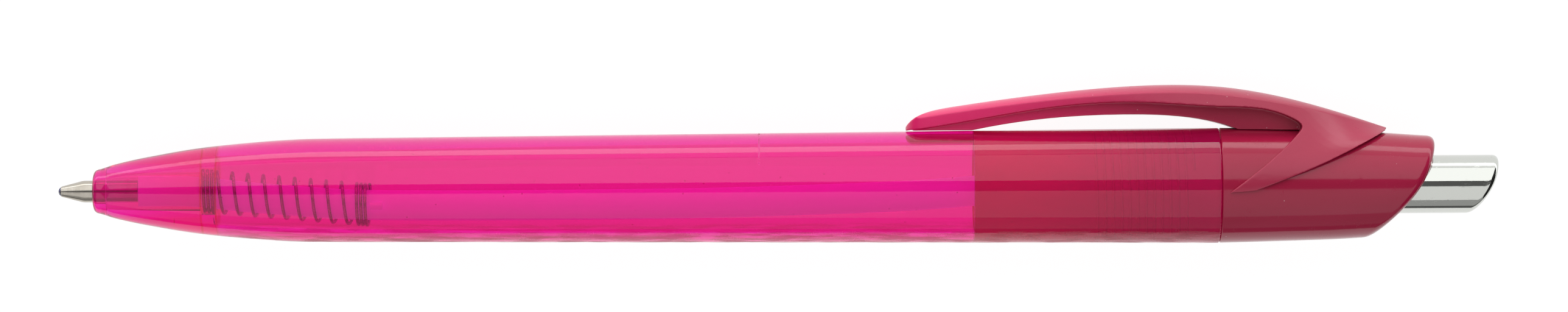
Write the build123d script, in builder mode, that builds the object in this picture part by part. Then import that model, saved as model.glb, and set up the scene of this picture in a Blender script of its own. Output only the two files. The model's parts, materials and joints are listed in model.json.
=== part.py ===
from build123d import *
import math
import os

# Click-action ballpoint pen, lying on a table with the writing tip out.
# +X runs along the pen from the ball to the push button and +Z is up. The pen rests on its clip, so
# the clip points along +Y and a little down. The origin is on the table, under the middle of the box.
# Sizes are in millimetres and degrees. "Reach" is a distance along the pen, "radius" is from its axis,
# and a height is measured from the axis towards the clip.

# Whole pen, end to end
tip_reach = 3.5  # ball to the barrel's nose face, tip out
barrel_length = 111.4  # nose face to the seam
housing_length = 21.2  # seam to the furthest point of the slanted end
button_reach = 6.4  # slanted end to the end of the button
stroke = 5.5  # how far the refill draws back
over_press = 1.2  # how far past the writing position the button can push

# Barrel: one thick translucent moulding with the nose
nose_length = 21.5
nose_rim_radius = 2.31
nose_rim_depth = 1.0
nose_face_radius = 1.75
nose_swell_reach = 10.0
nose_swell_radius = 4.18
nose_slope = 0.38
grip_radius = 5.10
seam_radius = 5.69
seam_gap = 0.05
guide_hole_depth = 1.45
refill_passage_radius = 1.85
spring_seat_depth = 10.9
spring_pocket_depth = 1.5
bore_front_radius = 3.45
bore_swell_reach = 27.5
bore_swell_radius = 3.95
bore_mid_reach = 50.5
bore_mid_radius = 4.28
bore_rear_radius = 4.46

# Rear housing: opaque moulding, screwed into the barrel by its spigot
spigot_length = 24.3
spigot_radius = 4.55
spigot_clearance = 0.05
thread_front = 13.0  # seam to the front of the threaded stretch
thread_rear = 2.4
thread_depth = 0.25
housing_mid_reach = 11.8
housing_mid_radius = 5.39
housing_rear_reach = 19.0
housing_rear_radius = 4.92
housing_tail_drop = 0.2
housing_edge_round = 0.7
slant_drop = 6.9  # how far the low side of the slanted end lies in front of the high side
guide_bore_radius = 3.30
guide_rib_radius = 2.52
rib_count = 4
guide_rib_angle = 44.0
cam_rise = 0.8

# Refill: plastic tube with swaged ears, metal tip, ball and ink
ball_radius = 0.5
ball_show = 0.36
ball_clearance = 0.01
lip_radius = 0.46
lip_wall = 0.05
cone_length = 2.1
tip_radius = 1.08
tip_length = 8.2
tip_stem_length = 3.6
ink_feed_radius = 0.3
refill_radius = 1.5
refill_wall = 0.45
refill_length = 103.0
ear_reach = 31.0
ear_length = 1.2
ear_span = 4.5
ear_thickness = 0.7
ink_length = 74.0
ink_clearance = 0.01

# Return spring
wire_radius = 0.165
wire_sides = 6
spring_radius = 2.03  # centre of the wire
closed_pitch = 0.36
closed_turns = 3
active_turns = 9

# Click mechanism
rotor_radius = 2.38
rotor_rib_radius = 3.20
rotor_rib_angle = 37.0
rotor_rib_length = 3.0
rotor_socket_depth = 4.0
rotor_head_length = 5.6
rotor_clearance = 0.2  # along the pen, between the rotor and what it turns against
plunger_radius = 2.42
plunger_bore_radius = 1.5
plunger_key_reach = 4.0
plunger_key_length = 2.0
plunger_stem_radius = 1.95
plunger_stem_length = 14.0
button_radius = 2.875
button_drop = 2.7
button_edge_round = 0.35
button_bulge = 0.1  # how far the end's outline passes the overall length, beyond the rounded edge
slide_clearance = 0.08
press_clearance = 0.02
margin = 1.0  # how far cutting shapes reach past what they cut
root_overlap = 0.3  # how far a rib, key or lug reaches into the wall that it grows from

# Pocket clip: arm, ridge and saddle in one moulding, hooked into the housing
clip_reach = 31.0  # seam to the clip's tip, along the barrel
clip_rear_reach = 16.4
clip_peak_height = 4.26  # above the seam radius
clip_tip_width = 4.2
clip_peak_width = 5.9
clip_root_width = 6.0
clip_keel_width = 3.2
keel_overlap = 0.4  # how far the keel reaches up into the arm
crown_share = 0.27  # how far the arm's top drops from its middle to its edge, by half its width
arm_flank = 3.7
clip_gap = 0.06
saddle_proud = 0.42
saddle_settle = 0.08  # how far the saddle's widest line lies inside its full radius
wing_tip_reach = 1.0
wing_tip_proud = 0.3
saddle_foot_angle = -30.0
clip_foot_reach = 0.8  # clip's tip to the foot that touches the barrel
clip_foot_depth = 0.12
ridge_length = 0.3  # how far the ridge's end reaches past the wings
lug_reach = 11.0
lug_width = 2.6
lug_length = 3.2
lug_depth = 1.4
lug_clearance = 0.12

# Places along the pen, from the ball
nose_face = tip_reach
seam = tip_reach + barrel_length
housing_end = seam + housing_length
overall_length = housing_end + button_reach
spring_seat = nose_face + spring_seat_depth
rotor_rear = refill_length + rotor_head_length
guide_front = rotor_rear + rotor_clearance
plunger_front = rotor_rear + rotor_clearance - cam_rise
key_front = plunger_front + plunger_key_reach
key_stop = key_front + plunger_key_length + stroke + slide_clearance
button_front = key_stop + over_press + rotor_clearance
lug_floor = housing_mid_radius - lug_depth


def taper_radius(reach):
    """The barrel's outer radius behind the nose."""
    front = nose_face + nose_length
    share = (reach - front) / (seam - front)
    return grip_radius + share * (seam_radius - grip_radius)


# How the pen lies: it rolls until the clip's edge touches the table
peak = seam_radius + clip_peak_height
peak_edge = peak - crown_share * clip_peak_width / 2
rest_height = seam_radius + saddle_proud - saddle_settle
resting_roll = math.asin(rest_height / math.hypot(peak_edge, clip_peak_width / 2)) - math.atan2(
    clip_peak_width / 2, peak_edge
)
crown_radius = clip_peak_width * (1 + crown_share**2) / (4 * crown_share)
clip_overhang = (peak - crown_radius) * math.cos(resting_roll) + crown_radius
axis_side = (seam_radius - clip_overhang) / 2
side = Vector(0, math.sin(resting_roll), math.cos(resting_roll))

# The pen's own plane: x along the pen from the ball, y towards the clip
pen = Plane(origin=(-overall_length / 2, axis_side, rest_height), x_dir=(1, 0, 0), z_dir=side)
pen_axis = Axis(pen.origin, pen.x_dir)


def across(reach):
    """A plane square to the pen, with y towards the clip."""
    return Plane(origin=pen.from_local_coords((reach, 0, 0)), x_dir=-pen.z_dir, z_dir=pen.x_dir)


def facing(reach, angle):
    """A plane along the axis, facing outward at an angle, with y along the pen."""
    out = pen.y_dir.rotate(Axis((0, 0, 0), pen.x_dir), angle)
    return Plane(origin=pen.from_local_coords((reach, 0, 0)), x_dir=pen.x_dir.cross(out), z_dir=out)


def shell_line(extra=0.0):
    """The rear housing's outline behind the seam, grown by a margin."""
    return Spline(
        (seam, seam_radius + extra),
        (seam + housing_mid_reach, housing_mid_radius + extra),
        (seam + housing_rear_reach, housing_rear_radius + extra),
        (housing_end + margin, housing_rear_radius - housing_tail_drop + extra),
        tangents=((1, -0.02), (1, -0.07)),
    )


def ribs(angle, outer, inner, turn=0.0):
    """Equal sectors round the axis, between two radii."""
    half = math.tan(math.radians(angle / 2)) * 2 * outer
    with PolarLocations(0, rib_count, turn):
        Polygon((0, 0), (2 * outer, -half), (2 * outer, half), align=None)
    Circle(outer, mode=Mode.INTERSECT)
    Circle(inner, mode=Mode.SUBTRACT)


def cut_teeth(reach, depth, radius, turn=0.0):
    """Cuts a ring of V notches into an end face, towards +X or, with a negative depth, -X."""
    tooth_angle = 360 / (2 * rib_count)
    half_pitch = math.pi * radius / (2 * rib_count)
    for tooth in range(2 * rib_count):
        with BuildSketch(facing(reach, turn + tooth * tooth_angle)) as notch:
            Polygon((-half_pitch, 0), (half_pitch, 0), (0, depth), align=None)
        extrude(notch.sketch, amount=radius + slide_clearance, mode=Mode.SUBTRACT)


def cut_ramps(reach, rise, angle, radius, turn=0.0):
    """Slants the ends of the ribs, so that a rib pressed against them turns to one side."""
    half = radius * math.sin(math.radians(angle / 2)) + slide_clearance
    for rib in range(rib_count):
        with BuildSketch(facing(reach, turn + rib * 360 / rib_count)) as ramp:
            Polygon((-half, 0), (half, 0), (half, rise), align=None)
        extrude(ramp.sketch, amount=2 * radius, mode=Mode.SUBTRACT)


# Barrel: nose, straight taper, spring seat and a counterbore for the spigot
passage_end = nose_face + guide_hole_depth
spigot_front = seam - spigot_length
with BuildPart() as barrel:
    with BuildSketch(pen):
        with BuildLine():
            rim = (nose_face + nose_rim_depth, nose_rim_radius)
            taper_front = (nose_face + nose_length, grip_radius)
            taper_slope = (seam_radius - grip_radius) / (barrel_length - nose_length)
            swell = Spline(
                rim,
                (nose_face + nose_swell_reach, nose_swell_radius),
                taper_front,
                tangents=((1, nose_slope), (1, taper_slope)),
            )
            Line(swell @ 1, (seam - seam_gap, seam_radius))
            Polyline(
                (seam - seam_gap, seam_radius),
                (seam - seam_gap, spigot_radius + spigot_clearance),
                (spigot_front - spigot_clearance, spigot_radius + spigot_clearance),
                (spigot_front - spigot_clearance, bore_rear_radius),
            )
            Spline(
                (spigot_front - spigot_clearance, bore_rear_radius),
                (nose_face + bore_mid_reach, bore_mid_radius),
                (nose_face + bore_swell_reach, bore_swell_radius),
                (spring_seat + spring_pocket_depth, bore_front_radius),
            )
            Polyline(
                (spring_seat + spring_pocket_depth, bore_front_radius),
                (spring_seat + spring_pocket_depth, spring_radius + wire_radius + slide_clearance),
                (spring_seat, spring_radius + wire_radius + slide_clearance),
                (spring_seat, refill_passage_radius),
                (passage_end, refill_passage_radius),
                (passage_end, tip_radius + slide_clearance),
                (nose_face, tip_radius + slide_clearance),
                (nose_face, nose_face_radius),
            )
            RadiusArc((nose_face, nose_face_radius), rim, nose_rim_depth)
        make_face()
    revolve(axis=pen_axis)
barrel.part.label = "barrel"

# Rear housing: outer shell with a slanted end, spigot with a relieved thread stretch, cam guide
guide_turn = 180 / rib_count
slant = [
    (housing_end + 0.25, 1.15 * housing_rear_radius),
    (housing_end, 0.74 * housing_rear_radius),
    (housing_end - 0.19 * slant_drop, 0.05 * housing_rear_radius),
    (housing_end - 0.48 * slant_drop, -0.49 * housing_rear_radius),
    (housing_end - 0.90 * slant_drop, -1.06 * housing_rear_radius),
    (housing_end - 1.12 * slant_drop, -1.30 * housing_rear_radius),
]
with BuildPart() as rear_housing:
    with BuildSketch(pen):
        with BuildLine():
            shell = shell_line()
            Polyline(
                shell @ 1,
                (housing_end + margin, button_radius + slide_clearance),
                (key_stop, button_radius + slide_clearance),
                (key_stop, guide_bore_radius),
                (spigot_front, guide_bore_radius),
                (spigot_front, spigot_radius),
                (seam - thread_front, spigot_radius),
                (seam - thread_front, spigot_radius - thread_depth),
                (seam - thread_rear, spigot_radius - thread_depth),
                (seam - thread_rear, spigot_radius),
                (seam, spigot_radius),
                (seam, seam_radius),
            )
        make_face()
    revolve(axis=pen_axis)
    with BuildSketch(pen):
        with BuildLine():
            cut = Spline(*slant)
            Polyline(
                cut @ 1,
                (housing_end + 2 * margin, slant[-1][1]),
                (housing_end + 2 * margin, slant[0][1]),
                cut @ 0,
            )
        make_face()
    extrude(amount=2 * seam_radius, both=True, mode=Mode.SUBTRACT)
    slanted_end = rear_housing.faces().sort_by(pen_axis)[-1]
    fillet(slanted_end.outer_wire().edges(), housing_edge_round)
    with BuildSketch(across(guide_front)):
        ribs(guide_rib_angle, guide_bore_radius + root_overlap, guide_rib_radius, turn=guide_turn)
    extrude(amount=key_stop - guide_front)
    with BuildSketch(across(seam + lug_reach - lug_clearance)):
        with Locations((0, lug_floor - lug_clearance)):
            Rectangle(
                lug_width + 2 * lug_clearance, 2 * lug_depth, align=(Align.CENTER, Align.MIN)
            )
    extrude(amount=lug_length + 2 * lug_clearance, mode=Mode.SUBTRACT)
rear_housing.part.label = "rear_housing"

# Writing tip: cone and body in nickel silver, with a stem pressed into the refill tube
seat_radius = ball_radius + ball_clearance
seat_depth = math.sqrt(seat_radius**2 - lip_radius**2)
lip_front = ball_radius - seat_depth
feed_front = ball_radius + math.sqrt(seat_radius**2 - ink_feed_radius**2)
cone_end = ball_show + cone_length
stem_radius = refill_radius - refill_wall - press_clearance
with BuildPart() as tip_socket:
    with BuildSketch(pen):
        with BuildLine():
            Polyline(
                (lip_front, lip_radius),
                (lip_front + lip_wall / 2, lip_radius + lip_wall),
                (cone_end, tip_radius),
                (tip_length, tip_radius),
                (tip_length, stem_radius),
                (tip_length + tip_stem_length, stem_radius),
                (tip_length + tip_stem_length, ink_feed_radius),
                (feed_front, ink_feed_radius),
            )
            ThreePointArc(
                (feed_front, ink_feed_radius),
                (ball_radius, seat_radius),
                (lip_front, lip_radius),
            )
        make_face()
    revolve(axis=pen_axis)
tip_socket.part.label = "tip_socket"

with BuildPart() as writing_ball:
    with BuildSketch(pen):
        with Locations((ball_radius, 0)):
            Circle(ball_radius)
            Rectangle(2 * ball_radius, ball_radius, align=(Align.CENTER, Align.MIN), mode=Mode.INTERSECT)
    revolve(axis=pen_axis)
writing_ball.part.label = "writing_ball"

# Refill tube, with two ears swaged out of its wall for the spring to push on
with BuildPart() as refill_tube:
    with BuildSketch(across(tip_length)):
        Circle(refill_radius)
        Circle(refill_radius - refill_wall, mode=Mode.SUBTRACT)
    extrude(amount=refill_length - tip_length)
    with BuildSketch(across(ear_reach)):
        SlotOverall(ear_span, ear_thickness)
        Circle(refill_radius - refill_wall / 2, mode=Mode.SUBTRACT)
    extrude(amount=ear_length)
refill_tube.part.label = "refill_tube"

ink_front = tip_length + tip_stem_length
with BuildPart() as ink_column:
    with BuildSketch(across(ink_front)):
        Circle(refill_radius - refill_wall - ink_clearance)
    extrude(amount=ink_length)
ink_column.part.label = "ink_column"

# Return spring: closed coils at both ends, open coils between the seat and the ears
closed_length = closed_turns * closed_pitch
spring_front = spring_seat + wire_radius + press_clearance
spring_rear = ear_reach - wire_radius - press_clearance
open_length = spring_rear - spring_front - 2 * closed_length
coils = (
    (spring_front, closed_length, closed_pitch),
    (spring_front + closed_length, open_length, open_length / active_turns),
    (spring_rear - closed_length, closed_length, closed_pitch),
)
with BuildPart() as return_spring:
    for reach, length, pitch in coils:
        middle = pen.from_local_coords((reach, 0, 0))
        with BuildLine():
            coil = Helix(
                pitch=pitch,
                height=length,
                radius=spring_radius,
                center=tuple(middle),
                direction=(1, 0, 0),
            )
        with BuildSketch(Plane(origin=coil @ 0, x_dir=(coil @ 0) - middle, z_dir=coil % 0)):
            RegularPolygon(wire_radius, wire_sides)
        sweep(path=coil, is_frenet=True)
return_spring.part.label = "return_spring"

# Rotor: socket for the refill's end, toothed head, and ribs that lie in line with the guide's grooves
rotor_front = refill_length - rotor_socket_depth
with BuildPart() as cam_rotor:
    with BuildSketch(across(rotor_front)):
        Circle(rotor_radius)
    extrude(amount=rotor_rear - rotor_front)
    with BuildSketch(across(rotor_front)):
        Circle(refill_radius + press_clearance)
    extrude(amount=rotor_socket_depth, mode=Mode.SUBTRACT)
    with BuildSketch(across(rotor_rear - rotor_rib_length)):
        ribs(rotor_rib_angle, rotor_rib_radius, rotor_radius - root_overlap)
    extrude(amount=rotor_rib_length)
    cut_teeth(rotor_rear, -cam_rise, plunger_radius)
    cut_ramps(rotor_rear, -cam_rise, rotor_rib_angle, rotor_rib_radius)
cam_rotor.part.label = "cam_rotor"

# Plunger: toothed crown, keys in the guide's grooves, and a stem pressed into the button
with BuildPart() as plunger:
    with BuildSketch(across(plunger_front)):
        Circle(plunger_radius)
    extrude(amount=button_front - plunger_front)
    with BuildSketch(across(button_front)):
        Circle(plunger_stem_radius)
    extrude(amount=plunger_stem_length)
    with BuildSketch(across(plunger_front)):
        Circle(plunger_bore_radius)
    extrude(amount=plunger_key_reach, mode=Mode.SUBTRACT)
    cut_teeth(plunger_front, cam_rise, plunger_radius, turn=180 / (2 * rib_count))
    with BuildSketch(across(key_front)):
        ribs(rotor_rib_angle, rotor_rib_radius, plunger_radius - root_overlap)
    extrude(amount=plunger_key_length)
plunger.part.label = "plunger"

# Push button: chromed cap with a slanted, slightly domed end
cut_side = 1.2 * button_radius
with BuildPart() as push_button:
    with BuildSketch(across(button_front)):
        Circle(button_radius)
    extrude(amount=overall_length - button_front + margin)
    with BuildSketch(pen):
        with BuildLine():
            cut = ThreePointArc(
                (overall_length + button_bulge, cut_side),
                (overall_length - 0.22 * button_drop, 0),
                (overall_length - 1.15 * button_drop, -cut_side),
            )
            Polyline(
                cut @ 1,
                (overall_length + 2 * margin, -cut_side),
                (overall_length + 2 * margin, cut_side),
                cut @ 0,
            )
        make_face()
    extrude(amount=2 * button_radius, both=True, mode=Mode.SUBTRACT)
    domed_end = push_button.faces().sort_by(pen_axis)[-1]
    fillet(domed_end.edges(), button_edge_round)
    with BuildSketch(across(button_front)):
        Circle(plunger_stem_radius + press_clearance)
    extrude(amount=plunger_stem_length + slide_clearance, mode=Mode.SUBTRACT)
push_button.part.label = "push_button"

# Pocket clip: arm and saddle lofted over the pen, then cut to the outline seen from the side
clip_tip = seam - clip_reach
clip_rear = seam + clip_rear_reach
arch_reach = 8.0
arm_edge = [
    (-clip_reach - 0.2, -0.15),
    (-28.1, 0.26),
    (-18.6, 1.85),
    (-8.4, 2.6),
    (0.5, 2.1),
    (arch_reach - 0.9, 0.9),
    (arch_reach, 0.1),
    (arch_reach - 0.3, -0.5),
]
wing_front = [(arch_reach - 0.3, -0.5), (5.7, -2.6), (2.9, -5.1), (wing_tip_reach, -6.5)]
wing_lower = [(wing_tip_reach, -6.5), (7.5, -4.6), (11.0, -3.1), (clip_rear_reach, -0.36)]
tip_crown = [(-clip_reach - 0.2, -0.15), (-clip_reach + 0.5, 0.8), (-27.8, 1.95), (-23.0, 3.6)]
underside = [(-24.4, -0.12), (-18.3, 0.86), (-9.0, 1.36), (-3.9, 1.15), (-0.3, 0.53), (3.0, -0.7)]


def above_seam(points):
    """Outline points, given from the seam and from its radius, on the pen's own plane."""
    return [(seam + reach, seam_radius + height) for reach, height in points]


def arm_section(reach, drop, width, flare):
    """A section of the free arm, whose flanks lean out by a share of their height."""
    top = peak - drop
    crown = width / 2
    shoulder = top - crown_share * crown
    foot = crown + arm_flank * flare
    with BuildSketch(across(seam + reach)) as section:
        with BuildLine():
            Polyline(
                (-crown, shoulder),
                (-foot, shoulder - arm_flank),
                (foot, shoulder - arm_flank),
                (crown, shoulder),
            )
            ThreePointArc((crown, shoulder), (0, top), (-crown, shoulder))
        make_face()
    return section.sketch


def saddle_section(reach, radius, drop, crown, proud=saddle_proud):
    """A section over the housing: round its sides, then straight up to the ridge."""
    outer = radius + proud
    shoulder = Vector(crown, peak - drop - crown_share * crown)
    touch = math.atan2(shoulder.Y, shoulder.X) - math.acos(outer / shoulder.length)
    side_point = (outer * math.cos(touch), outer * math.sin(touch))
    foot_angle = math.radians(saddle_foot_angle)
    foot = (outer * math.cos(foot_angle), outer * math.sin(foot_angle))
    mid_angle = (touch + foot_angle) / 2
    mid = (outer * math.cos(mid_angle), outer * math.sin(mid_angle))
    with BuildSketch(across(seam + reach)) as section:
        with BuildLine():
            Line((-foot[0], foot[1]), foot)
            ThreePointArc(foot, mid, side_point)
            Line(side_point, (crown, shoulder.Y))
            ThreePointArc((crown, shoulder.Y), (0, peak - drop), (-crown, shoulder.Y))
            Line((-crown, shoulder.Y), (-side_point[0], side_point[1]))
            ThreePointArc((-side_point[0], side_point[1]), (-mid[0], mid[1]), (-foot[0], foot[1]))
        make_face()
    return section.sketch


with BuildPart() as pocket_clip:
    loft(
        sections=[
            arm_section(-clip_reach - 1, 3.0, clip_tip_width - 0.3, 0.04),
            arm_section(-25, 1.85, clip_tip_width + 0.1, 0.04),
            arm_section(-14, 0.5, clip_tip_width + 0.9, 0.06),
            arm_section(-4, 0.0, clip_peak_width, 0.2),
            arm_section(wing_tip_reach, 0.3, clip_root_width, 0.38),
        ]
    )
    loft(
        sections=[
            saddle_section(wing_tip_reach, seam_radius, 0.3, clip_root_width / 2, proud=wing_tip_proud),
            saddle_section(4.5, seam_radius - 0.1, 0.86, clip_root_width / 2 - 0.2),
            saddle_section(8.0, seam_radius - 0.2, 1.66, clip_root_width / 2 - 0.7),
            saddle_section(housing_mid_reach, housing_mid_radius, 2.75, clip_root_width / 2 - 1.5),
            saddle_section(clip_rear_reach + 1, housing_rear_radius + 0.08, 4.6, 0.5, proud=0.2),
        ]
    )
    with BuildSketch(pen):
        with BuildLine():
            Spline(*above_seam(arm_edge))
            Spline(*above_seam(wing_front))
            lower = Spline(*above_seam(wing_lower))
            crown = Spline(*above_seam(tip_crown))
            Polyline(
                lower @ 1,
                (clip_rear + ridge_length, seam_radius),
                (clip_rear + ridge_length, peak + margin),
                ((crown @ 1).X, peak + margin),
                crown @ 1,
            )
        make_face()
    extrude(amount=2 * seam_radius, both=True, mode=Mode.INTERSECT)
    with BuildSketch(Plane(origin=pen.origin, x_dir=pen.x_dir, z_dir=pen.y_dir)):
        with BuildLine():
            half = clip_tip_width / 2
            nose = ThreePointArc((clip_tip + half, -half), (clip_tip, 0), (clip_tip + half, half))
            Polyline(
                nose @ 1,
                (seam, peak),
                (clip_rear + margin, peak),
                (clip_rear + margin, -peak),
                (seam, -peak),
                nose @ 0,
            )
        make_face()
    extrude(amount=peak + margin, mode=Mode.INTERSECT)
    with BuildSketch(pen):
        with BuildLine():
            keel_top = Spline(
                *above_seam([(reach, height + keel_overlap) for reach, height in arm_edge[1:6]])
            )
            keel = Spline(*above_seam(underside))
            Polyline(keel_top @ 1, (seam + arch_reach + margin, peak_edge / 2), keel @ 1)
            Polyline(keel @ 0, (clip_tip + clip_foot_reach, seam_radius - clip_foot_depth), keel_top @ 0)
        make_face()
    extrude(amount=clip_keel_width / 2, both=True)
    with BuildSketch(pen):
        with BuildLine():
            shell = shell_line(clip_gap)
            Polyline(
                shell @ 1,
                (housing_end + margin, 0),
                (clip_tip - margin, 0),
                (clip_tip - margin, taper_radius(clip_tip - margin) + clip_gap),
                (seam, seam_radius + clip_gap),
            )
        make_face()
    revolve(axis=pen_axis, mode=Mode.SUBTRACT)
    with BuildSketch(across(seam + lug_reach)):
        with Locations((0, lug_floor)):
            Rectangle(lug_width, lug_depth + root_overlap, align=(Align.CENTER, Align.MIN))
    extrude(amount=lug_length)
pocket_clip.part.label = "pocket_clip"

os.makedirs("parts", exist_ok=True)
for piece in (
    barrel,
    rear_housing,
    pocket_clip,
    tip_socket,
    writing_ball,
    refill_tube,
    ink_column,
    return_spring,
    cam_rotor,
    plunger,
    push_button,
):
    export_step(piece.part, f"parts/{piece.part.label}.step")
    print(piece.part.label, round(piece.part.volume, 2), piece.part.is_valid, len(piece.part.solids()))
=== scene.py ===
import json
import math

import bmesh
import bpy
from mathutils import Matrix, Vector


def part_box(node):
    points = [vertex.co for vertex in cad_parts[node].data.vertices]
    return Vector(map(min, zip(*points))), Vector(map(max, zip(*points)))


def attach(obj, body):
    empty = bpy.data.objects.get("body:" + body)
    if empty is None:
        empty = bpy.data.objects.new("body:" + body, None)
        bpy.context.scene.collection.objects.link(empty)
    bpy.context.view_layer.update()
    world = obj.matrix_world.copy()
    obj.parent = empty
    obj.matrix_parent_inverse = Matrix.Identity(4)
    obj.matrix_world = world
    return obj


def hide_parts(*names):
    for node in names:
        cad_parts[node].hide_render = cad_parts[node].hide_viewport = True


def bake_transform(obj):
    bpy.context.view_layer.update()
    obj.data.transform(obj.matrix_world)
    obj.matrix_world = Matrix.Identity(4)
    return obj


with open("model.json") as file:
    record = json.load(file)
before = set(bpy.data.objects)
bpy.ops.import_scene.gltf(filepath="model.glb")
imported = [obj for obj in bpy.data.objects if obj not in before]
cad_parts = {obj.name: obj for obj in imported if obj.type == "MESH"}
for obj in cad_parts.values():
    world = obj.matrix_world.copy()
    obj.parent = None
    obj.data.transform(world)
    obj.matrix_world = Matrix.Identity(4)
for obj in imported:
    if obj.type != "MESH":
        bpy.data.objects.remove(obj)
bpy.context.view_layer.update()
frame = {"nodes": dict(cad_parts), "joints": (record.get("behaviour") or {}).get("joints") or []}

# Barrel: one thick moulding in clear hot-pink plastic, with a long smooth taper, a narrow nose with
# a hole for the writing tip, a seat for the spring, and a counterbore that the rear housing screws
# into.
mm = 0.001
joints = {joint["name"]: joint for joint in frame["joints"]}
along = Vector((1, 0, 0))
sideways = Vector(joints["ball_roll"]["axis"])
clipwards = sideways.cross(along)
barrel_low, barrel_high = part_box("barrel")
ball_tip = (barrel_low + barrel_high) / 2
ball_tip.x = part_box("writing_ball")[0].x


def at(reach, height=0.0, side=0.0):
    """The frame's point for a reach along the pen from its ball, a height from its axis towards the
    clip, and a distance square to both, all in millimetres. The pen lies rolled onto its clip."""
    return ball_tip + mm * (reach * along + height * clipwards + side * sideways)


def around(reach, radius, angle):
    """A point at an angle round the axis, 0 towards the clip and 90 degrees towards the viewer."""
    return at(reach, radius * math.cos(angle), radius * math.sin(angle))


def round_angles(turns):
    """Angles spread evenly round the pen."""
    return [2 * math.pi * turn / turns for turn in range(turns)]


def skin(name, rows, wrap=True):
    """A sheet of quads from rows of points, faces outwards, smooth but for its sharp edges."""
    sharp = math.radians(40)
    touching = 1e-7
    shape = bmesh.new()
    grid = [[shape.verts.new(point) for point in row] for row in rows]
    across = len(rows[0])
    pairs = range(len(rows)) if wrap else range(len(rows) - 1)
    for row in pairs:
        here, there = grid[row], grid[(row + 1) % len(rows)]
        for step in range(across):
            after = (step + 1) % across
            shape.faces.new((here[step], here[after], there[after], there[step]))
    bmesh.ops.remove_doubles(shape, verts=shape.verts, dist=touching)
    bmesh.ops.recalc_face_normals(shape, faces=shape.faces)
    mesh = bpy.data.meshes.new(name)
    shape.to_mesh(mesh)
    shape.free()
    mesh.shade_smooth()
    mesh.set_sharp_from_angle(angle=sharp)
    piece = bpy.data.objects.new(name, mesh)
    bpy.context.scene.collection.objects.link(piece)
    return piece


def corner_curve(start, corner, end, steps):
    """Points of a curve that leaves one line and joins another, with its corner between them."""
    points = []
    for step in range(steps + 1):
        share = step / steps
        bend = 2 * share * (1 - share) * corner
        points.append((1 - share) ** 2 * start + bend + share**2 * end)
    return points


def eased(corners, steps=4):
    """A closed line of (reach, radius, rounding) corners, each rounded and held flat beside it."""
    held = 0.15
    line = []
    count = len(corners)
    for number, (reach, radius, easing) in enumerate(corners):
        point = Vector((reach, radius))
        if not easing:
            line.append(point)
            continue
        back = Vector(corners[number - 1][:2]) - point
        on = Vector(corners[(number + 1) % count][:2]) - point
        start, end = point + easing * back.normalized(), point + easing * on.normalized()
        line.append(start + held * easing * back.normalized())
        line += corner_curve(start, point, end, steps)
        line.append(end + held * easing * on.normalized())
    return line


def turned(name, line, turns):
    """A piece turned round the pen's axis from a closed line of (reach, radius)."""
    rows = []
    for reach, radius in line:
        rows.append([around(reach, radius, angle) for angle in round_angles(turns)])
    return skin(name, rows)


def through(points, first_slope=None, last_slope=None):
    """A smooth value over a place through points, with tangents from their neighbours."""
    slopes = []
    for number in range(len(points)):
        before, after = max(number - 1, 0), min(number + 1, len(points) - 1)
        rise = points[after][1] - points[before][1]
        slopes.append(rise / (points[after][0] - points[before][0]))
    if first_slope is not None:
        slopes[0] = first_slope
    if last_slope is not None:
        slopes[-1] = last_slope

    def value(place):
        place = min(max(place, points[0][0]), points[-1][0])
        number = 0
        while number < len(points) - 2 and place > points[number + 1][0]:
            number += 1
        (x0, y0), (x1, y1) = points[number], points[number + 1]
        span = x1 - x0
        t = (place - x0) / span
        return (
            (2 * t**3 - 3 * t**2 + 1) * y0
            + (t**3 - 2 * t**2 + t) * span * slopes[number]
            + (3 * t**2 - 2 * t**3) * y1
            + (t**3 - t**2) * span * slopes[number + 1]
        )

    return value


class Channel:
    """A node's output that takes part in sums, each of which adds a Math node."""

    def __init__(self, nodes, socket):
        self.nodes = nodes
        self.socket = socket

    def maths(self, operation, first, second=None):
        """A Math node of one or two values."""
        values = {0: first} if second is None else {0: first, 1: second}
        return self.nodes.node("ShaderNodeMath", {"operation": operation}, values)

    def __add__(self, other):
        return self.maths("ADD", self, other)

    def __radd__(self, other):
        return self.maths("ADD", other, self)

    def __sub__(self, other):
        return self.maths("SUBTRACT", self, other)

    def __rsub__(self, other):
        return self.maths("SUBTRACT", other, self)

    def __mul__(self, other):
        return self.maths("MULTIPLY", self, other)

    def __rmul__(self, other):
        return self.maths("MULTIPLY", other, self)

    def __truediv__(self, other):
        return self.maths("DIVIDE", self, other)

    def __rtruediv__(self, other):
        return self.maths("DIVIDE", other, self)

    def __abs__(self):
        return self.maths("ABSOLUTE", self)

    def below(self, limit):
        return self.maths("LESS_THAN", self, limit)

    def least(self, other):
        return self.maths("MINIMUM", self, other)

    def most(self, other):
        return self.maths("MAXIMUM", self, other)

    def sine(self):
        return self.maths("SINE", self)

    def cosine(self):
        return self.maths("COSINE", self)

    def ramp(self, low, high):
        """0 at one value, 1 at another, smooth between, and held past both."""
        return self.nodes.node(
            "ShaderNodeMapRange",
            {"interpolation_type": "SMOOTHSTEP"},
            {"Value": self, "From Min": low, "From Max": high},
        )


class Nodes:
    """A tree of nodes, which grows by one method."""

    def __init__(self, tree):
        self.tree = tree

    def node(self, kind, settings=None, values=None, output=0):
        """Adds a node: its settings first, then the values or channels of its sockets."""
        made = self.tree.nodes.new(kind)
        for setting, value in (settings or {}).items():
            setattr(made, setting, value)
        for socket, value in (values or {}).items():
            if isinstance(value, Channel):
                self.tree.links.new(value.socket, made.inputs[socket])
            else:
                made.inputs[socket].default_value = value
        return None if output is None else Channel(self, made.outputs[output])


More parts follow.
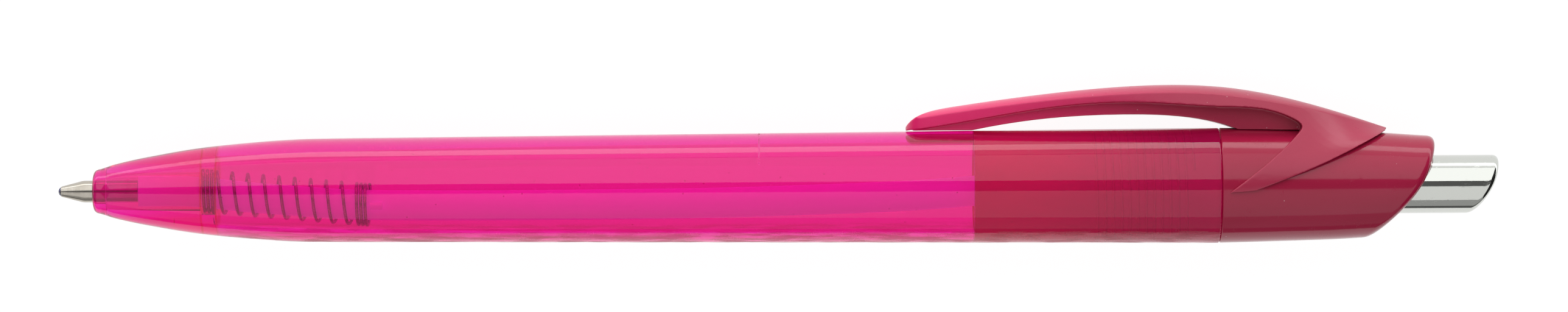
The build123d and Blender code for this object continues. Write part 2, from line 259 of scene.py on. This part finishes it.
class Finish(Nodes):
    """A material whose patterns are laid out in the pen's own millimetres."""

    def __init__(self, name):
        self.material = bpy.data.materials.new(name)
        self.material.use_nodes = True
        super().__init__(self.material.node_tree)
        self.tree.nodes.clear()
        self.place = self.node(
            "ShaderNodeMapping",
            {"vector_type": "TEXTURE"},
            {
                "Vector": self.node("ShaderNodeTexCoord", output="Object"),
                "Location": ball_tip,
                "Rotation": (math.atan2(clipwards.z, clipwards.y), 0, 0),
                "Scale": (mm, mm, mm),
            },
        )
        split = self.node("ShaderNodeSeparateXYZ", None, {0: self.place}).socket.node
        self.reach, self.height, self.side = (Channel(self, output) for output in split.outputs)

    def noise(self, scale, detail=3.0):
        """Smooth random values round 0.5, so many a millimetre in each direction."""
        stretched = self.node(
            "ShaderNodeVectorMath", {"operation": "MULTIPLY"}, {0: self.place, 1: scale}
        )
        values = {"Vector": stretched, "Scale": 1.0, "Detail": detail}
        return self.node("ShaderNodeTexNoise", None, values)

    def specks(self, per_mm, size, share):
        """1 in small round spots, in a share of the cells of a random grid."""
        cells = self.node("ShaderNodeTexVoronoi", None, {"Vector": self.place, "Scale": per_mm})
        middle = Channel(self, cells.socket.node.outputs["Position"])
        pick = self.node("ShaderNodeTexWhiteNoise", None, {"Vector": middle})
        return cells.ramp(size, 0.4 * size) * pick.below(share)

    def scratches(self, stretch, width):
        """1 in thin wandering lines that run along the direction stretched least."""
        away = abs(self.noise(stretch, detail=1.0) - 0.5)
        broken = self.noise((0.9, 0.9, 0.9), detail=2.0).ramp(0.52, 0.64)
        return away.ramp(width, 0.25 * width) * broken

    def ring(self, reach, width):
        """1 in a thin ring round the pen at a reach."""
        return abs(self.reach - reach).ramp(width, 0.3 * width)

    def mixed(self, factor, first, second):
        """A colour between two."""
        values = {0: factor}
        for socket, colour in ((6, first), (7, second)):
            values[socket] = colour if isinstance(colour, Channel) else (*colour, 1)
        return self.node("ShaderNodeMix", {"data_type": "RGBA"}, values, output=2)

    def bumped(self, height, strength, distance=0.02):
        """A normal from a height, in millimetres."""
        values = {"Height": height, "Strength": strength, "Distance": distance * mm}
        return self.node("ShaderNodeBump", None, values)

    def surface(self, values, volume=None):
        """The surface's shader, and what fills the body behind it."""
        shader = self.node("ShaderNodeBsdfPrincipled", None, values)
        body = {"Surface": shader, "Volume": volume} if volume else {"Surface": shader}
        self.node("ShaderNodeOutputMaterial", None, body, output=None)
        return self.material


nose_face = 3.5
nose_face_radius = 2.08
nose_corner = 4.25
nose_corner_radius = 2.24
nose_wall = 4.95
nose_hole_radius = 1.16
refill_passage_radius = 1.85
spring_front = 14.4
spring_pocket_radius = 2.275
spring_pocket_rear = 15.9
bore_front_radius = 3.45
bore_rear_radius = 4.46
spigot_front = 90.6
counterbore_front = 90.55
counterbore_radius = 4.60
barrel_rear = 114.85
seam = 114.9
seam_radius = 5.69
barrel_radius = through(
    [
        (4.5, 2.31),
        (5.4, 2.62),
        (7.5, 3.12),
        (9.9, 3.58),
        (12.3, 4.00),
        (14.7, 4.335),
        (17.2, 4.59),
        (19.6, 4.80),
        (22.0, 4.97),
        (25.0, 5.10),
        (35.2, 5.18),
        (barrel_rear, seam_radius),
    ],
    last_slope=0.0066,
)
bore_radius = through(
    [
        (spring_pocket_rear, bore_front_radius),
        (31.0, 3.95),
        (54.0, 4.28),
        (counterbore_front, bore_rear_radius),
    ]
)
nose_steps = [4.5 + 0.25 * step for step in range(1, 83)]
taper_steps = [25.2 + 4.0 * step for step in range(23)]
bore_steps = [88.0 - 4.0 * step for step in range(18)]
barrel_line = eased(
    [
        (nose_face, nose_hole_radius, 0.12),
        (nose_face, nose_face_radius, 0.55),
        (nose_corner, nose_corner_radius, 0.0),
    ],
    steps=6,
)
barrel_line += [Vector((reach, barrel_radius(reach))) for reach in nose_steps + taper_steps]
barrel_line += eased(
    [
        (barrel_rear, seam_radius, 0.16),
        (barrel_rear, counterbore_radius, 0.1),
        (counterbore_front, counterbore_radius, 0.06),
        (counterbore_front, bore_rear_radius, 0.0),
    ]
)
barrel_line += [Vector((reach, bore_radius(reach))) for reach in bore_steps]
barrel_line += eased(
    [
        (spring_pocket_rear, bore_front_radius, 0.1),
        (spring_pocket_rear, spring_pocket_radius, 0.0),
        (spring_front, spring_pocket_radius, 0.1),
        (spring_front, refill_passage_radius, 0.08),
        (nose_wall, refill_passage_radius, 0.1),
        (nose_wall, nose_hole_radius, 0.05),
    ]
)
barrel = turned("barrel_clear", barrel_line, turns=256)

clear_pink = Finish("clear_pink_plastic")
flow = clear_pink.noise((0.05, 0.5, 0.5))
barrel_dust = clear_pink.specks(1.1, 0.11, 0.10)
barrel_scratches = clear_pink.scratches((5.0, 0.35, 0.35), 0.012)
# Painted shade: a blotchy darker band along the edge away from the clip, the bottom edge as seen,
# which also roughens the surface there.
bottom_blotches = clear_pink.noise((0.35, 1.5, 1.5)).ramp(0.35, 0.6) + clear_pink.specks(1.7, 0.16, 0.4)
painted_bottom_shade = clear_pink.height.ramp(-4.1, -4.7) * bottom_blotches.least(1.0)
nick_reach = 69.4
barrel_nick = (
    clear_pink.ring(nick_reach, 0.11)
    * clear_pink.height.ramp(1.9, 2.4)
    * clear_pink.side.ramp(0.0, 1.0)
    * clear_pink.noise((0.2, 1.3, 1.3)).ramp(0.38, 0.46)
)
# Painted shade: darker red rings round the pen where the bore steps at the spring's seat.
step_shade_rings = clear_pink.ring(spring_front, 0.16) + clear_pink.ring(spring_pocket_rear, 0.16)
pink = clear_pink.mixed(barrel_dust, (0.83, 0.12, 0.54), (0.42, 0.02, 0.10))
pink = clear_pink.mixed(step_shade_rings, pink, (0.72, 0.10, 0.26))
# The painted shade darkens the bottom edge.
pink = clear_pink.mixed(0.85 * painted_bottom_shade, pink, (0.52, 0.05, 0.20))
pink = clear_pink.mixed(barrel_nick, pink, (1.0, 0.75, 0.85))
# Roughness from the scratches, the nick and the painted bottom shade.
wear_and_shade_roughness = 0.2 * barrel_scratches + 0.35 * painted_bottom_shade + 0.5 * barrel_nick
dye = {"Color": (0.975, 0.0, 0.80, 1), "Density": 900.0}
barrel.data.materials.append(
    clear_pink.surface(
        {
            "Base Color": pink,
            "Roughness": 0.008 + 0.012 * flow + wear_and_shade_roughness,
            "IOR": 1.46,
            "Transmission Weight": 0.97,
            # Painted glow: a faint pink emission lightens the barrel as if light shone from within
            # it; the barrel is no lamp.
            "Emission Color": (1.0, 0.0, 0.22, 1),
            "Emission Strength": 0.05,
            "Normal": clear_pink.bumped(barrel_scratches, 0.2, 0.008),
        },
        clear_pink.node("ShaderNodeVolumeAbsorption", None, dye),
    )
)
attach(barrel, "shell")
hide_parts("barrel")

# Writing tip: a cone and body turned from nickel silver, with its lip rolled over a hard ball,
# pressed into the front of the refill.
ball_radius = 0.5
lip_front = 0.28
lip_front_radius = 0.462
lip_rear = 0.31
lip_radius = 0.51
cone_rear = 2.46
tip_radius = 1.08
tip_shoulder = 8.2
tip_stem_radius = 1.03
tip_rear = 11.8
tip_bore_radius = 0.30
ball_seat_rear = 0.912
tip_line = eased(
    [
        (lip_front, lip_front_radius, 0.0),
        (lip_rear, lip_radius, 0.02),
        (cone_rear, tip_radius, 0.25),
        (tip_shoulder, tip_radius, 0.08),
        (tip_shoulder, tip_stem_radius, 0.0),
        (tip_rear, tip_stem_radius, 0.1),
        (tip_rear, tip_bore_radius, 0.1),
        (ball_seat_rear, tip_bore_radius, 0.0),
    ],
    steps=6,
)
seat_angles = [math.radians(42 + 8.5 * step) for step in range(1, 9)]
tip_line += [
    Vector((ball_radius + lip_radius * math.cos(angle), lip_radius * math.sin(angle)))
    for angle in seat_angles
]
tip = turned("writing_tip", tip_line, turns=128)
nickel = Finish("nickel_silver")
turning = nickel.noise((22.0, 0.2, 0.2), detail=1.0)
tarnish = nickel.noise((0.9, 0.9, 0.9))
tip.data.materials.append(
    nickel.surface(
        {
            "Base Color": nickel.mixed(tarnish, (0.60, 0.56, 0.50), (0.40, 0.37, 0.31)),
            "Roughness": 0.12 + 0.14 * tarnish,
            "Metallic": 1.0,
            "Normal": nickel.bumped(turning, 0.4, 0.01),
        }
    )
)
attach(tip, "refill")
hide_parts("tip_socket")

ball_steps = 32
ball_angles = [math.pi * step / ball_steps for step in range(ball_steps + 1)]
ball_line = [
    Vector((ball_radius - ball_radius * math.cos(angle), ball_radius * math.sin(angle)))
    for angle in ball_angles
]
ball = turned("hard_ball", ball_line, turns=64)
carbide = Finish("carbide")
smear = carbide.noise((2.5, 2.5, 2.5))
inked = smear.ramp(0.45, 0.6)
ball.data.materials.append(
    carbide.surface(
        {
            "Base Color": carbide.mixed(inked, (0.30, 0.30, 0.33), (0.05, 0.05, 0.16)),
            "Roughness": 0.1 + 0.2 * smear,
            "Metallic": 1.0,
        }
    )
)
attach(ball, "ball")
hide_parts("writing_ball")

# Refill: a thin milky tube that sags towards the low side of the bore between its tip and the
# rotor, with two ears squeezed out of its wall for the spring, and dark paste ink inside.
tube_radius = 1.5
tube_bore_radius = 1.05
tube_rear = 103.0
ink_radius = 1.04
ink_rear = 85.0
ear_reach = 31.0
ear_length = 1.2
ear_span = 2.25
ear_thickness = 0.35
ear_squareness = 2.2
full_sag = 1.5
refill_sag = through(
    [
        (tip_rear, 0.0),
        (20.0, -0.75),
        (ear_reach, -full_sag),
        (62.0, -full_sag),
        (75.0, -1.2),
        (84.0, -0.88),
        (99.0, 0.0),
    ],
    first_slope=0.0,
    last_slope=0.0,
)


def bowed(name, line):
    """A round piece on the refill's sagging centre line, from a closed line of (reach, radius)."""
    rows = []
    for reach, radius in line:
        sag = mm * refill_sag(reach) * clipwards
        rows.append([around(reach, radius, angle) + sag for angle in round_angles(48)])
    return skin(name, rows)


tube_front = 8.2
tube_middle = [9.0 + 2.0 * step for step in range(47)]
tube_steps = [tube_front, tube_front + 0.1] + tube_middle + [tube_rear - 0.1, tube_rear]
tube = bowed(
    "refill_tube_milky",
    [(reach, tube_radius) for reach in tube_steps]
    + [(reach, tube_bore_radius) for reach in reversed(tube_steps)],
)
milky = Finish("refill_plastic")
cloud = milky.noise((0.15, 1.0, 1.0))
milky_look_painted_glow = milky.surface(
    {
        "Base Color": milky.mixed(cloud, (1.0, 0.78, 1.0), (0.96, 0.70, 0.96)),
        "Roughness": 0.22 + 0.15 * cloud,
        # Painted glow: a magenta emission lightens the tube as if lit from within; the tube is no
        # lamp.
        "Emission Color": (1.0, 0.12, 1.0, 1),
        "Emission Strength": 0.26,
        "Normal": milky.bumped(cloud, 0.3),
    }
)
tube.data.materials.append(milky_look_painted_glow)
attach(tube, "refill")
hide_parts("refill_tube")

ear_rear = ear_reach + ear_length
ear_rows = []
for reach in (ear_reach, ear_reach + 0.05, ear_rear - 0.05, ear_rear):
    row = []
    for angle in round_angles(64):
        rise = ear_thickness * min(max(ear_squareness * math.cos(angle), -1.0), 1.0)
        row.append(at(reach, rise + refill_sag(ear_reach), ear_span * math.sin(angle)))
    ear_rows.append(row)
ears = skin("refill_ears", ear_rows, wrap=False)
closing = bmesh.new()
closing.from_mesh(ears.data)
bmesh.ops.holes_fill(closing, edges=[edge for edge in closing.edges if edge.is_boundary])
bmesh.ops.recalc_face_normals(closing, faces=closing.faces)
closing.to_mesh(ears.data)
closing.free()
# The ears take the same painted glow.
ears.data.materials.append(milky_look_painted_glow)
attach(ears, "refill")

ink_steps = [tip_rear] + [13.0 + 2.0 * step for step in range(37)]
ink_side = [(reach, ink_radius) for reach in ink_steps]
ink = bowed("ink_paste", [(tip_rear, 0.0), *ink_side, (ink_rear, 0.0)])
paste = Finish("ink")
streak = paste.noise((0.3, 2.0, 2.0))
ink.data.materials.append(
    paste.surface(
        {
            "Base Color": paste.mixed(streak, (0.015, 0.015, 0.10), (0.03, 0.03, 0.16)),
            "Roughness": 0.08 + 0.1 * streak,
        }
    )
)
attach(ink, "refill")
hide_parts("ink_column")

# Return spring: a coil of bright drawn wire, three closed turns at each end and nine open ones,
# which pushes the refill back by its ears and leans over with it. The same tree winds the spigot's
# thread.
class Coil(Nodes):
    """A helix of round wire along the pen, closed at its ends, with named inputs for its sizes."""

    sizes = ("Front", "Radius", "Wire", "Open Pitch", "Open Turns", "End Pitch", "End Turns", "Sag")

    def __init__(self, name, material):
        group = bpy.data.node_groups.new(name, "GeometryNodeTree")
        group.interface.new_socket("Geometry", in_out="OUTPUT", socket_type="NodeSocketGeometry")
        for size in self.sizes:
            group.interface.new_socket(size, in_out="INPUT", socket_type="NodeSocketFloat")
        super().__init__(group)
        given = self.node("NodeGroupInput").socket.node
        size = {name: Channel(self, given.outputs[name]) for name in self.sizes}
        turns = size["Open Turns"] + 2.0 * size["End Turns"]
        line = self.node("GeometryNodeCurvePrimitiveLine", None, {"End": (1.0, 0.0, 0.0)})
        points = self.node("GeometryNodeResampleCurve", None, {"Curve": line, "Count": 900})
        turn = turns * self.node("GeometryNodeSplineParameter")
        front = turn.least(size["End Turns"])
        middle = (turn - size["End Turns"]).most(0.0).least(size["Open Turns"])
        rear = (turn - size["End Turns"] - size["Open Turns"]).most(0.0)
        gone = size["End Pitch"] * (front + rear) + size["Open Pitch"] * middle
        ends = 2.0 * size["End Pitch"] * size["End Turns"]
        whole = ends + size["Open Pitch"] * size["Open Turns"]
        angle = 2 * math.pi * turn
        height = size["Radius"] * angle.cosine() - size["Sag"] * (gone / whole)
        side = size["Radius"] * angle.sine()
        spot = self.node(
            "ShaderNodeCombineXYZ",
            None,
            {
                0: ball_tip.x + mm * (size["Front"] + gone),
                1: ball_tip.y + mm * (clipwards.y * height + sideways.y * side),
                2: ball_tip.z + mm * (clipwards.z * height + sideways.z * side),
            },
        )
        path = self.node("GeometryNodeSetPosition", None, {"Geometry": points, "Position": spot})
        outline = {"Resolution": 14, "Radius": mm * size["Wire"]}
        section = self.node("GeometryNodeCurvePrimitiveCircle", None, outline)
        swept = {"Curve": path, "Profile Curve": section, "Fill Caps": True}
        wire = self.node("GeometryNodeCurveToMesh", None, swept)
        real = self.node("GeometryNodeRealizeInstances", None, {"Geometry": wire})
        done = self.node("GeometryNodeSetMaterial", None, {"Geometry": real, "Material": material})
        self.node("NodeGroupOutput", None, {0: done}, output=None)

    def wound(self, name, values):
        """A plain mesh of the coil at its sizes."""
        piece = bpy.data.objects.new(name, bpy.data.meshes.new(name + "_start"))
        bpy.context.scene.collection.objects.link(piece)
        coil = piece.modifiers.new("coil", "NODES")
        coil.node_group = self.tree
        for item in self.tree.interface.items_tree:
            if item.in_out == "INPUT":
                coil[item.identifier] = float(values[item.name])
        evaluated = piece.evaluated_get(bpy.context.evaluated_depsgraph_get())
        mesh = bpy.data.meshes.new_from_object(evaluated)
        piece.modifiers.clear()
        piece.data = mesh
        mesh.name = name
        mesh.shade_smooth()
        return piece


steel = Finish("spring_steel")
drawn = steel.noise((0.7, 5.0, 5.0))
steel_look = steel.surface(
    {
        "Base Color": steel.mixed(drawn, (0.52, 0.50, 0.50), (0.34, 0.33, 0.33)),
        "Roughness": 0.18 + 0.2 * drawn,
        "Metallic": 1.0,
        "Normal": steel.bumped(drawn, 0.4, 0.01),
    }
)
coil_radius = 2.03
wire_radius = 0.165
spring_clearance = 0.02
closed_pitch = 0.42
closed_turns = 3
open_turns = 9
first_turn = wire_radius + spring_clearance
spring_length = ear_reach - spring_front - 2 * first_turn
spring = Coil("spring_coil", steel_look).wound(
    "return_coil",
    {
        "Front": spring_front + first_turn,
        "Radius": coil_radius,
        "Wire": wire_radius,
        "Open Pitch": (spring_length - 2 * closed_turns * closed_pitch) / open_turns,
        "Open Turns": open_turns,
        "End Pitch": closed_pitch,
        "End Turns": closed_turns,
        "Sag": full_sag,
    },
)
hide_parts("return_spring")
at(spring_front)
at(ear_reach)
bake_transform(spring)

# Rotor and plunger of the click mechanism: natural acetal mouldings, satin, which slide in the
# guide inside the housing. Their own solids are kept and only finished.
acetal = Finish("white_plastic")
grain = acetal.noise((3.0, 3.0, 3.0))
acetal_look = acetal.surface(
    {
        "Base Color": acetal.mixed(grain, (0.80, 0.79, 0.76), (0.72, 0.71, 0.68)),
        "Roughness": 0.3 + 0.12 * grain,
        "Normal": acetal.bumped(grain, 0.3),
    }
)
for node in ("cam_rotor", "plunger"):
    frame["nodes"][node].data.materials.clear()
    frame["nodes"][node].data.materials.append(acetal_look)

# Rear housing: opaque deep-rose moulding, its slanted end with a rounded rim round the button's
# hole, and a thinner threaded spigot that reaches into the barrel.
spigot_radius = 4.63
guide_radius = 3.30
guide_rear = 119.58
rim_radius = 3.05
rim_rounding = 0.85
button_hole_radius = 2.955
housing_radius = through(
    [
        (seam, seam_radius),
        (118.2, 5.625),
        (121.8, 5.535),
        (126.7, 5.39),
        (131.5, 5.10),
        (133.9, 4.92),
        (137.1, 4.72),
    ]
)
slant = through(
    [
        (-6.4, 128.37),
        (-5.215, 129.89),
        (-2.41, 132.79),
        (0.246, 134.79),
        (3.64, 136.1),
        (5.66, 136.35),
    ]
)


def slanted(line, cut, hole, easing, angle, outer_from, outer_steps=24, corner_steps=8):
    """A meridian along an outer line to a slanted end, round its rim and in to a hole."""
    held = 0.08
    held_before = 0.1
    end_steps = 14
    rounds_to_settle = 13
    facing = math.cos(angle)
    reach = cut(0)
    for _ in range(rounds_to_settle):
        reach = cut(line(reach) * facing)
    radius = line(reach)
    start = Vector((reach - easing, line(reach - easing)))
    end = Vector((cut((radius - easing) * facing), radius - easing))
    corner = Vector((reach, radius))
    points = []
    for step in range(outer_steps):
        place = outer_from + (start.x - held_before - outer_from) * step / outer_steps
        points.append(Vector((place, line(place))))
    points.append(Vector((start.x - held, line(start.x - held))))
    points += corner_curve(start, corner, end, corner_steps)
    for step in range(1, end_steps + 1):
        away = end.y - held + (hole - end.y + held) * step / end_steps
        points.append(Vector((cut(away * facing), away)))
    return points


def turned_by_angle(name, meridian):
    """A piece whose closed line of (reach, radius) changes with the angle round the pen."""
    rows = []
    for angle in round_angles(256):
        rows.append([around(point.x, point.y, angle) for point in meridian(angle)])
    return skin(name, rows)


def housing_meridian(angle):
    """The housing from the seam back over its rim, in through its bore and out along the spigot."""
    # The corner onwards gives the rounding its direction and isn't itself kept.
    onwards = (116.5, housing_radius(116.5), 0.0)
    points = eased([(seam, spigot_radius, 0.0), (seam, seam_radius, 0.16), onwards])[:-1]
    points += slanted(housing_radius, slant, rim_radius, rim_rounding, angle, outer_from=115.4)
    rim = points[-1]
    points.append(Vector((rim.x - 0.03, rim_radius - 0.07)))
    points.append(Vector((rim.x - 0.12, button_hole_radius)))
    return points + eased(
        [
            (guide_rear, button_hole_radius, 0.0),
            (guide_rear, guide_radius, 0.0),
            (spigot_front, guide_radius, 0.12),
            (spigot_front, spigot_radius, 0.12),
        ]
    )


housing = turned_by_angle("rear_housing_shell", housing_meridian)


def handled_rose(finish):
    """The clouds in a rose moulding's colour and gloss, the dust on it and its scratches."""
    cloud = finish.noise((0.12, 0.35, 0.35))
    return cloud, finish.specks(1.3, 0.09, 0.12), finish.scratches((4.0, 0.5, 0.5), 0.012)


pale_dust = (0.62, 0.30, 0.34)
rose = Finish("rose_plastic")
rose_cloud, rose_dust, rose_scratches = handled_rose(rose)
deep_rose = rose.mixed(rose_cloud, (0.41, 0.014, 0.062), (0.35, 0.009, 0.044))
housing.data.materials.append(
    rose.surface(
        {
            "Base Color": rose.mixed(rose_dust, deep_rose, pale_dust),
            "Roughness": 0.08 + 0.07 * rose_cloud + 0.2 * rose_scratches,
            "IOR": 1.5,
            "Specular IOR Level": 0.42,
            "Normal": rose.bumped(rose_cloud + 0.3 * rose_scratches, 0.3, 0.03),
        }
    )
)
# Painted light: the spigot inside the barrel is the same rose moulding as the housing, but it is
# coloured a far brighter hot pink, as if lit through the barrel. A painted shade darkens it towards
# the seam, and it has no gloss.
spigot_lit = Finish("rose_in_contact")
spigot_lit_cloud = spigot_lit.noise((0.12, 0.35, 0.35))
spigot_lit_look = spigot_lit.surface(
    {
        "Base Color": spigot_lit.mixed(
            spigot_lit.reach.ramp(92.0, 112.0),
            spigot_lit.mixed(spigot_lit_cloud, (0.97, 0.004, 0.24), (0.86, 0.003, 0.18)),
            spigot_lit.mixed(spigot_lit_cloud, (0.74, 0.004, 0.21), (0.64, 0.003, 0.15)),
        ),
        "Roughness": 0.5 + 0.2 * spigot_lit_cloud,
        "Specular IOR Level": 0.0,
    }
)
housing.data.materials.append(spigot_lit_look)
spigot_lit_index = len(housing.data.materials) - 1
spigot_lit_rear = seam - 0.01
# Faces in front of the seam take the painted-light colour.
for face in housing.data.polygons:
    if (face.center - ball_tip).dot(along) < spigot_lit_rear * mm:
        face.material_index = spigot_lit_index
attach(housing, "shell")
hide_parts("rear_housing")

# The spigot's thread is wound in the same painted-light colour.
thread = Coil("thread_coil", spigot_lit_look).wound(
    "spigot_thread",
    {
        "Front": 102.4,
        "Radius": counterbore_radius,
        "Wire": 0.135,
        "Open Pitch": 0.8,
        "Open Turns": 12.2,
        "End Pitch": 0.0,
        "End Turns": 0,
        "Sag": 0.0,
    },
)
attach(thread, "shell")

# Pocket clip: one opaque rose moulding, an arched arm with a keel below it and a saddle whose two
# wings wrap over the housing, hooked into it by a lug. Its edges are soft, as
# they leave the mould.
wing_root = 123.5
wing_length = 6.5
wing_forward = 1.45
wing_round = 0.08
wing_closer = 0.02


def wing_drawn_out(place):
    """A place on the clip, moved forward and further round the pen by its share of a wing."""
    from_ball = (place - ball_tip) / mm
    across, up = from_ball.dot(sideways), from_ball.dot(clipwards)
    angle = math.atan2(across, up)
    share = min(max((wing_root - from_ball.x) / wing_length, 0.0), 1.0)
    share = share * share * (3 - 2 * share) * min(abs(angle) / (math.pi / 2), 1.0) ** 2
    radius = math.hypot(across, up) * (1 - wing_closer * share)
    return around(from_ball.x - wing_forward * share, radius, angle * (1 + wing_round * share))


clip = bpy.data.objects.new("pocket_clip_arm", frame["nodes"]["pocket_clip"].data.copy())
bpy.context.scene.collection.objects.link(clip)
shape = bmesh.new()
shape.from_mesh(clip.data)
loose_by = 2e-6
bmesh.ops.remove_doubles(shape, verts=shape.verts, dist=loose_by)
for vertex in shape.verts:
    vertex.co = wing_drawn_out(vertex.co)
shape.to_mesh(clip.data)
shape.free()
remesh = clip.modifiers.new("remesh", "REMESH")
remesh.mode = "VOXEL"
remesh.voxel_size = 0.065 * mm
smooth = clip.modifiers.new("smooth", "SMOOTH")
smooth.factor = 0.5
smooth.iterations = 9
fewer = clip.modifiers.new("fewer", "DECIMATE")
fewer.ratio = 0.15
softened = clip.evaluated_get(bpy.context.evaluated_depsgraph_get())
clip_mesh = bpy.data.meshes.new_from_object(softened)
clip_mesh.validate()
clip.modifiers.clear()
clip.data = clip_mesh
clip_mesh.materials.clear()
arm = Finish("rose_clip_plastic")
arm_cloud, arm_dust, arm_scratches = handled_rose(arm)
clip_deep_rose = arm.mixed(arm_cloud, (0.44, 0.018, 0.072), (0.38, 0.012, 0.052))
# Painted light: the arm is coloured brighter and more saturated towards its tip, as if lit through
# thinner plastic, fading to the moulding's own deep rose by the saddle.
arm_rose_painted_glow = arm.mixed(arm.reach.ramp(84.0, 118.0), (0.78, 0.016, 0.150), clip_deep_rose)
clip_mesh.materials.append(
    arm.surface(
        {
            "Base Color": arm.mixed(arm_dust, arm_rose_painted_glow, pale_dust),
            "Roughness": 0.24 + 0.10 * arm_cloud + 0.2 * arm_scratches,
            "IOR": 1.5,
            "Normal": arm.bumped(arm_cloud + 0.3 * arm_scratches, 0.3, 0.02),
        }
    )
)
clip_mesh.shade_smooth()
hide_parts("pocket_clip")
at(118, 1.6)
at(113.5, 7.6)
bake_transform(clip)

# Push button: a bright plated cap with a slanted, slightly domed end, pressed onto the plunger's
# stem. It slides in the housing's hole.
button_radius = 2.875
button_front = 121.0
button_rounding = 0.68
button_line = through([(120.98, button_radius), (143.0, button_radius)])
button_cut = through(
    [(-3.45, 139.395), (-1.8, 140.85), (0.0, 141.906), (1.8, 142.45), (3.45, 142.6)]
)


def button_meridian(angle):
    """The button from the middle of its front face along its side to the middle of its end."""
    onwards = (button_front + 1.0, button_radius, 0.0)
    points = eased([(button_front, 0.0, 0.0), (button_front, button_radius, 0.1), onwards])[:-1]
    return points + slanted(
        button_line,
        button_cut,
        0.0,
        button_rounding,
        angle,
        outer_from=121.6,
        outer_steps=8,
        corner_steps=14,
    )


button = turned_by_angle("push_button_cap", button_meridian)

plated = Finish("plated_plastic")
handled = plated.noise((0.5, 0.5, 0.5))
plated_pits = plated.specks(2.2, 0.10, 0.16)
plated_scratches = plated.scratches((1.2, 3.5, 3.5), 0.014)
button.data.materials.append(
    plated.surface(
        {
            "Base Color": plated.mixed(plated_pits, (0.63, 0.645, 0.61), (0.16, 0.15, 0.14)),
            "Roughness": 0.035 + 0.06 * handled + 0.22 * plated_scratches + 0.3 * plated_pits,
            "Metallic": 1.0,
            "Normal": plated.bumped(handled + 0.3 * plated_scratches, 0.25, 0.015),
        }
    )
)
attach(button, "button")
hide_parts("push_button")

# Stage: a white table that gives off light, long soft lights parallel to the pen on the viewer's
# side, a black flag beyond the button, a strip of light on the table on the clip's side, and the
# camera square to the clip.
def flat(name, corners):
    """One flat face between four corners."""
    mesh = bpy.data.meshes.new(name)
    mesh.from_pydata(corners, [], [(0, 1, 2, 3)])
    piece = bpy.data.objects.new(name, mesh)
    bpy.context.scene.collection.objects.link(piece)
    return piece


def soft_light(name, length, width, radiance):
    """A rectangle of light that the camera doesn't see."""
    light = bpy.data.lights.new(name, "AREA")
    light.shape = "RECTANGLE"
    light.size, light.size_y = length, width
    light.energy = radiance * math.pi * length * width
    lit = bpy.data.objects.new(name, light)
    bpy.context.scene.collection.objects.link(lit)
    lit.visible_camera = False
    return lit


def face_along(thing, right, upward, back):
    """Turns a light or camera so that it looks away from its back."""
    thing.rotation_mode = "QUATERNION"
    thing.rotation_quaternion = Matrix((right, upward, back)).transposed().to_quaternion()


pen_middle = 71


def lamp(name, first, last, radiance):
    """A long soft light between two angles round the pen, from the view towards the clip."""
    length, distance = 1.6, 0.9
    ends = []
    for angle in (math.radians(first), math.radians(last)):
        ends.append(distance * (math.cos(angle) * sideways + math.sin(angle) * clipwards))
    middle = (ends[0] + ends[1]) / 2
    lit = soft_light(name, length, (ends[0] - ends[1]).length, radiance)
    lit.location = at(pen_middle) + middle
    back = middle.normalized()
    face_along(lit, along, back.cross(along), back)


far = 30.0
floor = flat("table_top", [(-far, -far, 0), (far, -far, 0), (far, far, 0), (-far, far, 0)])
table = Finish("pale_table")
floor.data.materials.append(
    table.surface(
        {
            "Base Color": (0.1, 0.1, 0.1, 1),
            "Roughness": 0.9,
            "Emission Color": (1, 1, 1, 1),
            "Emission Strength": 0.95,
        }
    )
)

lamp("key_softbox", 12, 68, 1.35)
lamp("fill_softbox", -67, -9, 0.80)
lamp("low_fill", -97, -68, 0.28)
flag_away = 0.4
flag_half = 0.5
flag_top = 0.6
flag = flat(
    "black_flag",
    [
        (flag_away, -flag_half, 0),
        (flag_away, flag_half, 0),
        (flag_away, flag_half, flag_top),
        (flag_away, -flag_half, flag_top),
    ],
)
felt = Finish("black_felt")
flag.data.materials.append(
    felt.surface(
        {"Base Color": (0.02, 0.02, 0.02, 1), "Roughness": 0.9, "Specular IOR Level": 0.0}
    )
)
flag.visible_camera = False
flag.visible_shadow = False
card = soft_light("bounce_card", 0.5, 0.024, 2.2)
card_away = 0.030
card_lift = 0.0004
card.location = (0, card_away, card_lift)
card.rotation_euler = (math.pi, 0, 0)

world = bpy.data.worlds.new("studio")
bpy.context.scene.world = world
world.use_nodes = True
world.node_tree.nodes.clear()
room = Nodes(world.node_tree)
seen = room.node("ShaderNodeLightPath", output="Is Camera Ray")
mirrored_room = 0.15
seen_room = 0.85
strength = mirrored_room + (seen_room - mirrored_room) * seen
walls = room.node("ShaderNodeBackground", None, {"Strength": strength})
room.node("ShaderNodeOutputWorld", None, {"Surface": walls}, output=None)
bpy.context.scene.view_settings.view_transform = "Standard"

camera_data = bpy.data.cameras.new("camera")
camera = bpy.data.objects.new("camera", camera_data)
bpy.context.scene.collection.objects.link(camera)
camera_data.sensor_width = 36
camera_data.lens = 139.12
camera_data.clip_start, camera_data.clip_end = 0.01, 100
picture_middle = at(71.86, 3.13)
camera_distance = 0.6
camera.location = picture_middle + camera_distance * sideways
tilt = math.radians(0.32)
face_along(
    camera,
    math.cos(tilt) * along - math.sin(tilt) * clipwards,
    math.cos(tilt) * clipwards + math.sin(tilt) * along,
    sideways,
)
bpy.context.scene.camera = camera
